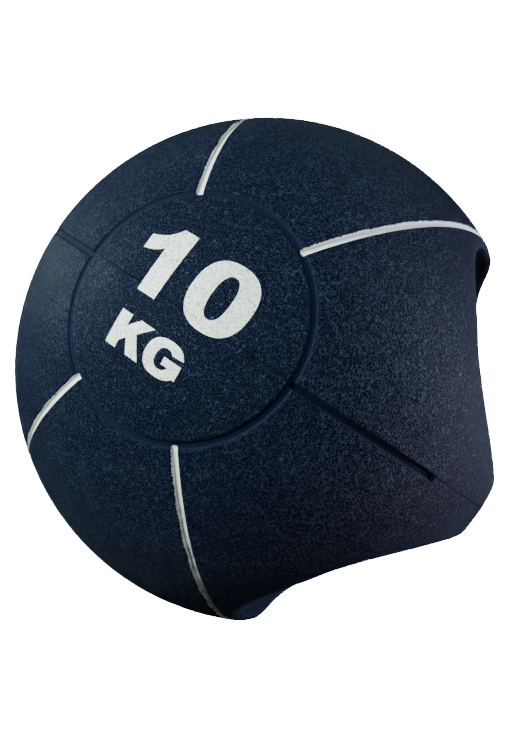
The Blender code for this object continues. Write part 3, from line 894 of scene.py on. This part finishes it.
def bowed(start, middle, end, count):
    """Points of a curve through three points, without its two ends."""
    points = []
    for t in np.linspace(0.0, 1.0, count + 1)[1:-1]:
        weights = ((1 - t) * (1 - 2 * t), 4 * t * (1 - t), t * (2 * t - 1))
        x, y = (sum(w * p[axis] for w, p in zip(weights, (start, middle, end))) for axis in (0, 1))
        points.append((x, y))
    return points


def squared_oval(centre, half_size, start, end, count, power=2.4):
    """Points of a squared-off oval between two angles in degrees from +X, anticlockwise."""
    points = []
    for angle in np.radians(np.linspace(start, end, count)):
        cosine, sine = math.cos(angle), math.sin(angle)
        size = (abs(cosine) ** power + abs(sine) ** power) ** (-1.0 / power)
        x = centre[0] + half_size[0] * size * cosine
        y = centre[1] + half_size[1] * size * sine
        points.append((x, y))
    return points


def digit_one():
    tip_top, tip_foot = (-0.0316, 0.0217), (-0.0316, 0.0147)
    crotch, shoulder = (-0.0214, 0.0190), (-0.0191, 0.0300)
    outline = [tip_foot, *bowed(tip_foot, (-0.0260, 0.0162), crotch, 8), crotch]
    outline += [(-0.0214, -0.0017), (-0.0115, -0.0017), (-0.0111, 0.0300), shoulder]
    outline += [*bowed(shoulder, (-0.0242, 0.0246), tip_top, 10), tip_top]
    return [outline]


def digit_zero():
    centre = (0.0134, 0.0136)
    return [
        squared_oval(centre, (0.0144, 0.0160), 0, 355, 72),
        squared_oval(centre, (0.0047, 0.0102), 0, 352.5, 48),
    ]


def letter_k():
    return [[
        (-0.0222, -0.0276), (-0.0163, -0.0276), (-0.0163, -0.0239), (-0.0137, -0.0214),
        (-0.0101, -0.0276), (-0.0033, -0.0276), (-0.0098, -0.0179), (-0.0032, -0.0119),
        (-0.0110, -0.0119), (-0.0161, -0.0170), (-0.0161, -0.0119), (-0.0222, -0.0119),
    ]]


def letter_g():
    centre = (0.0063, -0.0200)
    inside = squared_oval(centre, (0.0038, 0.0046), 320, 40, 24)
    outside = squared_oval(centre, (0.0092, 0.0081), 24, 322, 48)
    bar = [
        (0.0152, -0.0254), (0.0152, -0.0189), (0.0065, -0.0189), (0.0065, -0.0223), (0.0101, -0.0223),
    ]
    return [inside + outside + bar]


def ink_film(name, outlines, placing):
    """Fill flat outlines, rule them into small faces and lay them on the ball as a thin film."""
    bm = bmesh.new()
    edges = []
    for outline in outlines:
        corners = [bm.verts.new((x, y, 0.0)) for x, y in outline]
        edges += [bm.edges.new(pair) for pair in zip(corners, corners[1:] + corners[:1])]
    bmesh.ops.triangle_fill(bm, edges=edges, use_beauty=True)
    flat = np.array([vertex.co for vertex in bm.verts])
    for axis in (0, 1):
        for level in np.arange(flat[:, axis].min() + INK_PITCH / 2, flat[:, axis].max(), INK_PITCH):
            cut = [0.0, 0.0, 0.0]
            cut[axis] = level
            along = [0.0, 0.0, 0.0]
            along[axis] = 1.0
            everything = bm.verts[:] + bm.edges[:] + bm.faces[:]
            bmesh.ops.bisect_plane(bm, geom=everything, dist=1e-6, plane_co=cut, plane_no=along)
    for vertex in bm.verts:
        if vertex.is_boundary:
            at = vertex.co / 0.0011
            shift = Vector((noise.noise(at), noise.noise(at + Vector((7.0, 3.0, 1.0))), 0.0))
            vertex.co += 0.00012 * shift
        height = BALL_RADIUS + FILM_GAP
        vertex.co.z = math.sqrt(height ** 2 - vertex.co.x ** 2 - vertex.co.y ** 2)
    raised = bmesh.ops.extrude_face_region(bm, geom=bm.faces[:], use_keep_orig=True)
    top = [item for item in raised["geom"] if isinstance(item, bmesh.types.BMVert)]
    grown = 1.0 + INK_THICKNESS / BALL_RADIUS
    bmesh.ops.scale(bm, vec=(grown, grown, grown), verts=top)
    bmesh.ops.transform(bm, matrix=placing, verts=bm.verts)
    return mesh_object(name, bm)


def printing_ink(name, white, shaded_crease):
    """White ink over the leathery grain, greyed in its creases as painted shade, with a few pinholes.
    """
    result = bpy.data.materials.new(name)
    result.use_nodes = True
    tree = result.node_tree
    tree.nodes.clear()

    place = tree.nodes.new("ShaderNodeTexCoord")
    place.label = "place on the ball"
    worms = tree.nodes.new("ShaderNodeTexNoise")
    worms.label = "wandering creases of the grain"
    from_middle = tree.nodes.new("ShaderNodeMath")
    from_middle.label = "creases run where this is nought"
    either_side = tree.nodes.new("ShaderNodeMath")
    either_side.label = "distance from a crease"
    ridges = tree.nodes.new("ShaderNodeMapRange")
    ridges.label = "flat ridges between creases"
    level = tree.nodes.new("ShaderNodeSeparateXYZ")
    level.label = "height on the ball"
    above_seam = tree.nodes.new("ShaderNodeMath")
    above_seam.label = "height over the parting line"
    beside_seam = tree.nodes.new("ShaderNodeMath")
    beside_seam.label = "distance from the parting line"
    seam = tree.nodes.new("ShaderNodeMapRange")
    seam.label = "hairline of the parting"
    pitted = tree.nodes.new("ShaderNodeMath")
    pitted.label = "creases and parting line"
    # The grey in the grain's creases is painted shade on the ink.
    cover = tree.nodes.new("ShaderNodeMix")
    cover.label = "painted shade in creases"
    patch = tree.nodes.new("ShaderNodeTexNoise")
    patch.label = "uneven pad pressure"
    patch_share = tree.nodes.new("ShaderNodeMapRange")
    patch_share.label = "how uneven"
    patched = tree.nodes.new("ShaderNodeMix")
    patched.label = "full or weak print"
    holes = tree.nodes.new("ShaderNodeTexVoronoi")
    holes.label = "scattered pinholes"
    hole_share = tree.nodes.new("ShaderNodeMapRange")
    hole_share.label = "pinhole size"
    holed = tree.nodes.new("ShaderNodeMix")
    holed.label = "ink or pinhole"
    relief = tree.nodes.new("ShaderNodeBump")
    relief.label = "height of the grain under the ink"
    ink = tree.nodes.new("ShaderNodeBsdfPrincipled")
    ink.label = "ink"
    output = tree.nodes.new("ShaderNodeOutputMaterial")

    grain_frame = tree.nodes.new("NodeFrame")
    grain_frame.label = "grain"
    grain_nodes = (
        worms, from_middle, either_side, ridges, level, above_seam, beside_seam, seam,
        pitted, cover, relief,
    )
    for node in grain_nodes:
        node.parent = grain_frame
    print_frame = tree.nodes.new("NodeFrame")
    print_frame.label = "print faults"
    for node in (patch, patch_share, patched, holes, hole_share, holed):
        node.parent = print_frame
    place.location = (-2300, 0)
    for i, node in enumerate(grain_nodes):
        node.location = (-2000 + 200 * i, -300)
    for i, node in enumerate((patch, patch_share, patched, holes, hole_share, holed)):
        node.location = (-1100 + 200 * i, 300)
    ink.location = (250, 0)
    output.location = (550, 0)

    worms.inputs["Scale"].default_value = 650.0
    worms.inputs["Detail"].default_value = 0.0
    worms.inputs["Roughness"].default_value = 0.45
    worms.inputs["Distortion"].default_value = 0.4
    from_middle.operation = "SUBTRACT"
    from_middle.inputs[1].default_value = 0.5
    either_side.operation = "ABSOLUTE"
    ridges.interpolation_type = "SMOOTHSTEP"
    ridges.inputs["From Min"].default_value = 0.0
    ridges.inputs["From Max"].default_value = 0.06
    above_seam.operation = "SUBTRACT"
    above_seam.inputs[1].default_value = PARTING_LEVEL
    beside_seam.operation = "ABSOLUTE"
    seam.inputs["From Min"].default_value = 0.00005
    seam.inputs["From Max"].default_value = 0.00030
    seam.inputs["To Min"].default_value = 0.2
    pitted.operation = "MULTIPLY"
    cover.data_type = "RGBA"
    cover.inputs["A"].default_value = (*shaded_crease, 1.0)
    cover.inputs["B"].default_value = (*white, 1.0)
    patch.inputs["Scale"].default_value = 90.0
    patch.inputs["Detail"].default_value = 3.0
    patch_share.inputs["From Min"].default_value = 0.5
    patch_share.inputs["From Max"].default_value = 0.8
    patch_share.inputs["To Max"].default_value = 0.25
    patched.data_type = "RGBA"
    patched.inputs["B"].default_value = (0.55, 0.56, 0.50, 1.0)
    holes.inputs["Scale"].default_value = 190.0
    holes.inputs["Randomness"].default_value = 1.0
    hole_share.inputs["From Min"].default_value = 0.035
    hole_share.inputs["From Max"].default_value = 0.07
    hole_share.inputs["To Min"].default_value = 1.0
    hole_share.inputs["To Max"].default_value = 0.0
    holed.data_type = "RGBA"
    holed.inputs["B"].default_value = (0.10, 0.10, 0.10, 1.0)
    relief.inputs["Strength"].default_value = 1.0
    relief.inputs["Distance"].default_value = 0.00030
    ink.inputs["Roughness"].default_value = 0.55

    tree.links.new(place.outputs["Object"], worms.inputs["Vector"])
    tree.links.new(worms.outputs["Fac"], from_middle.inputs[0])
    tree.links.new(from_middle.outputs["Value"], either_side.inputs[0])
    tree.links.new(either_side.outputs["Value"], ridges.inputs["Value"])
    tree.links.new(place.outputs["Object"], level.inputs["Vector"])
    tree.links.new(level.outputs["Z"], above_seam.inputs[0])
    tree.links.new(above_seam.outputs["Value"], beside_seam.inputs[0])
    tree.links.new(beside_seam.outputs["Value"], seam.inputs["Value"])
    tree.links.new(ridges.outputs["Result"], pitted.inputs[0])
    tree.links.new(seam.outputs["Result"], pitted.inputs[1])
    tree.links.new(pitted.outputs["Value"], cover.inputs["Factor"])
    tree.links.new(place.outputs["Object"], patch.inputs["Vector"])
    tree.links.new(patch.outputs["Fac"], patch_share.inputs["Value"])
    tree.links.new(patch_share.outputs["Result"], patched.inputs["Factor"])
    tree.links.new(cover.outputs["Result"], patched.inputs["A"])
    tree.links.new(place.outputs["Object"], holes.inputs["Vector"])
    tree.links.new(holes.outputs["Distance"], hole_share.inputs["Value"])
    tree.links.new(hole_share.outputs["Result"], holed.inputs["Factor"])
    tree.links.new(patched.outputs["Result"], holed.inputs["A"])
    tree.links.new(holed.outputs["Result"], ink.inputs["Base Color"])
    tree.links.new(ridges.outputs["Result"], relief.inputs["Height"])
    tree.links.new(relief.outputs["Normal"], ink.inputs["Normal"])
    tree.links.new(ink.outputs["BSDF"], output.inputs["Surface"])
    return result


# The second colour is the painted shade in the grain's creases.
white_ink = printing_ink("white_pad_ink", (0.80, 0.83, 0.78), (0.36, 0.37, 0.30))
to_front = Matrix.Rotation(math.pi / 2, 4, "X")
to_back = Matrix.Rotation(math.pi, 4, "Z") @ to_front
prints = {}
for glyph, outlines in (
    ("digit_one", digit_one()),
    ("digit_zero", digit_zero()),
    ("letter_k", letter_k()),
    ("letter_g", letter_g()),
):
    prints[f"front_{glyph}"] = (outlines, to_front)
    prints[f"back_{glyph}"] = (outlines, to_back)
for print_name, (outlines, placing) in prints.items():
    film = ink_film(f"ink_{print_name}", outlines, placing)
    film.data.shade_smooth()
    film.data.set_sharp_from_angle(angle=math.radians(50))
    film.data.materials.append(white_ink)
    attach(film, "root")
    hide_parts(print_name)


# Studio. A pale floor touches the ball's lowest point, and large soft lights stand round the camera.
# The camera looks at the front disc from a little to its right, rolled so that the weight climbs.

def stage_paint(name, seen, bounced):
    """Seen as a clean pale surface, while it throws little light back up at the ball."""
    result = bpy.data.materials.new(name)
    result.use_nodes = True
    tree = result.node_tree
    tree.nodes.clear()
    ray = tree.nodes.new("ShaderNodeLightPath")
    ray.label = "seen by the camera or not"
    glow = tree.nodes.new("ShaderNodeEmission")
    glow.label = "what the camera sees"
    matt = tree.nodes.new("ShaderNodeBsdfDiffuse")
    matt.label = "what lights the ball"
    choice = tree.nodes.new("ShaderNodeMixShader")
    choice.label = "camera or light"
    output = tree.nodes.new("ShaderNodeOutputMaterial")
    for i, node in enumerate((ray, glow, matt, choice, output)):
        node.location = (220 * i, 0)
    glow.inputs["Strength"].default_value = seen
    matt.inputs["Color"].default_value = (bounced, bounced, bounced, 1.0)
    tree.links.new(ray.outputs["Is Camera Ray"], choice.inputs["Fac"])
    tree.links.new(matt.outputs["BSDF"], choice.inputs[1])
    tree.links.new(glow.outputs["Emission"], choice.inputs[2])
    tree.links.new(choice.outputs["Shader"], output.inputs["Surface"])
    return result


floor_mesh = bmesh.new()
bmesh.ops.create_grid(floor_mesh, x_segments=1, y_segments=1, size=6.0)
bmesh.ops.translate(floor_mesh, vec=(0, 0, -BALL_RADIUS - 0.0005), verts=floor_mesh.verts)
floor = mesh_object("studio_floor", floor_mesh)
floor.data.materials.append(stage_paint("studio_floor_paint", 60.0, 0.03))

world = bpy.data.worlds.new("studio")
bpy.context.scene.world = world
world.use_nodes = True
sky = world.node_tree
sky.nodes.clear()
sky_ray = sky.nodes.new("ShaderNodeLightPath")
sky_ray.label = "seen by the camera or not"
sky_seen = sky.nodes.new("ShaderNodeBackground")
sky_seen.label = "clean white backdrop"
sky_light = sky.nodes.new("ShaderNodeBackground")
sky_light.label = "soft light of the room"
sky_choice = sky.nodes.new("ShaderNodeMixShader")
sky_choice.label = "camera or light"
sky_output = sky.nodes.new("ShaderNodeOutputWorld")
for i, node in enumerate((sky_ray, sky_seen, sky_light, sky_choice, sky_output)):
    node.location = (220 * i, 0)
sky_seen.inputs["Strength"].default_value = 60.0
sky_light.inputs["Color"].default_value = (0.75, 0.86, 1.0, 1.0)
sky_light.inputs["Strength"].default_value = 0.04
sky.links.new(sky_ray.outputs["Is Camera Ray"], sky_choice.inputs["Fac"])
sky.links.new(sky_light.outputs["Background"], sky_choice.inputs[1])
sky.links.new(sky_seen.outputs["Background"], sky_choice.inputs[2])
sky.links.new(sky_choice.outputs["Shader"], sky_output.inputs["Surface"])

CAMERA_LENS = 37.0
CAMERA_PLACE = BALL_RADIUS * Vector((0.9939, -2.9967, -0.0111))
CAMERA_RIGHT = Vector((0.788, 0.274, 0.552)).normalized()
towards_ball = Vector((-0.327, 0.945, -0.003))
CAMERA_AHEAD = (towards_ball - towards_ball.dot(CAMERA_RIGHT) * CAMERA_RIGHT).normalized()
CAMERA_UP = CAMERA_RIGHT.cross(CAMERA_AHEAD)
camera = bpy.data.objects.new("camera", bpy.data.cameras.new("camera"))
bpy.context.scene.collection.objects.link(camera)
camera.matrix_world = Matrix((
    (CAMERA_RIGHT.x, CAMERA_UP.x, -CAMERA_AHEAD.x, CAMERA_PLACE.x),
    (CAMERA_RIGHT.y, CAMERA_UP.y, -CAMERA_AHEAD.y, CAMERA_PLACE.y),
    (CAMERA_RIGHT.z, CAMERA_UP.z, -CAMERA_AHEAD.z, CAMERA_PLACE.z),
    (0, 0, 0, 1),
))
camera.data.sensor_width = 36.0
camera.data.lens = CAMERA_LENS
camera.data.clip_start = 0.01
bpy.context.scene.camera = camera

for light_name, across, up, towards, size, power, tint in (
    ("key_softbox", -0.84, 0.34, 0.63, 0.6, 100.0, (0.88, 1.0, 0.92)),
    ("left_rim_softbox", -1.0, 0.16, -0.40, 0.7, 100.0, (0.90, 1.0, 0.94)),
    ("right_softbox", 1.07, 0.05, 0.05, 0.9, 24.0, (0.74, 0.80, 1.0)),
    ("low_right_softbox", 0.98, -0.45, -0.22, 0.5, 4.0, (0.95, 0.86, 1.0)),
):
    light = bpy.data.objects.new(light_name, bpy.data.lights.new(light_name, "AREA"))
    bpy.context.scene.collection.objects.link(light)
    light.data.shape = "DISK"
    light.data.size = size
    light.data.energy = power
    light.data.color = tint
    light.location = across * CAMERA_RIGHT + up * CAMERA_UP - towards * CAMERA_AHEAD
    light.rotation_mode = "QUATERNION"
    light.rotation_quaternion = (-light.location).to_track_quat("-Z", "Y")
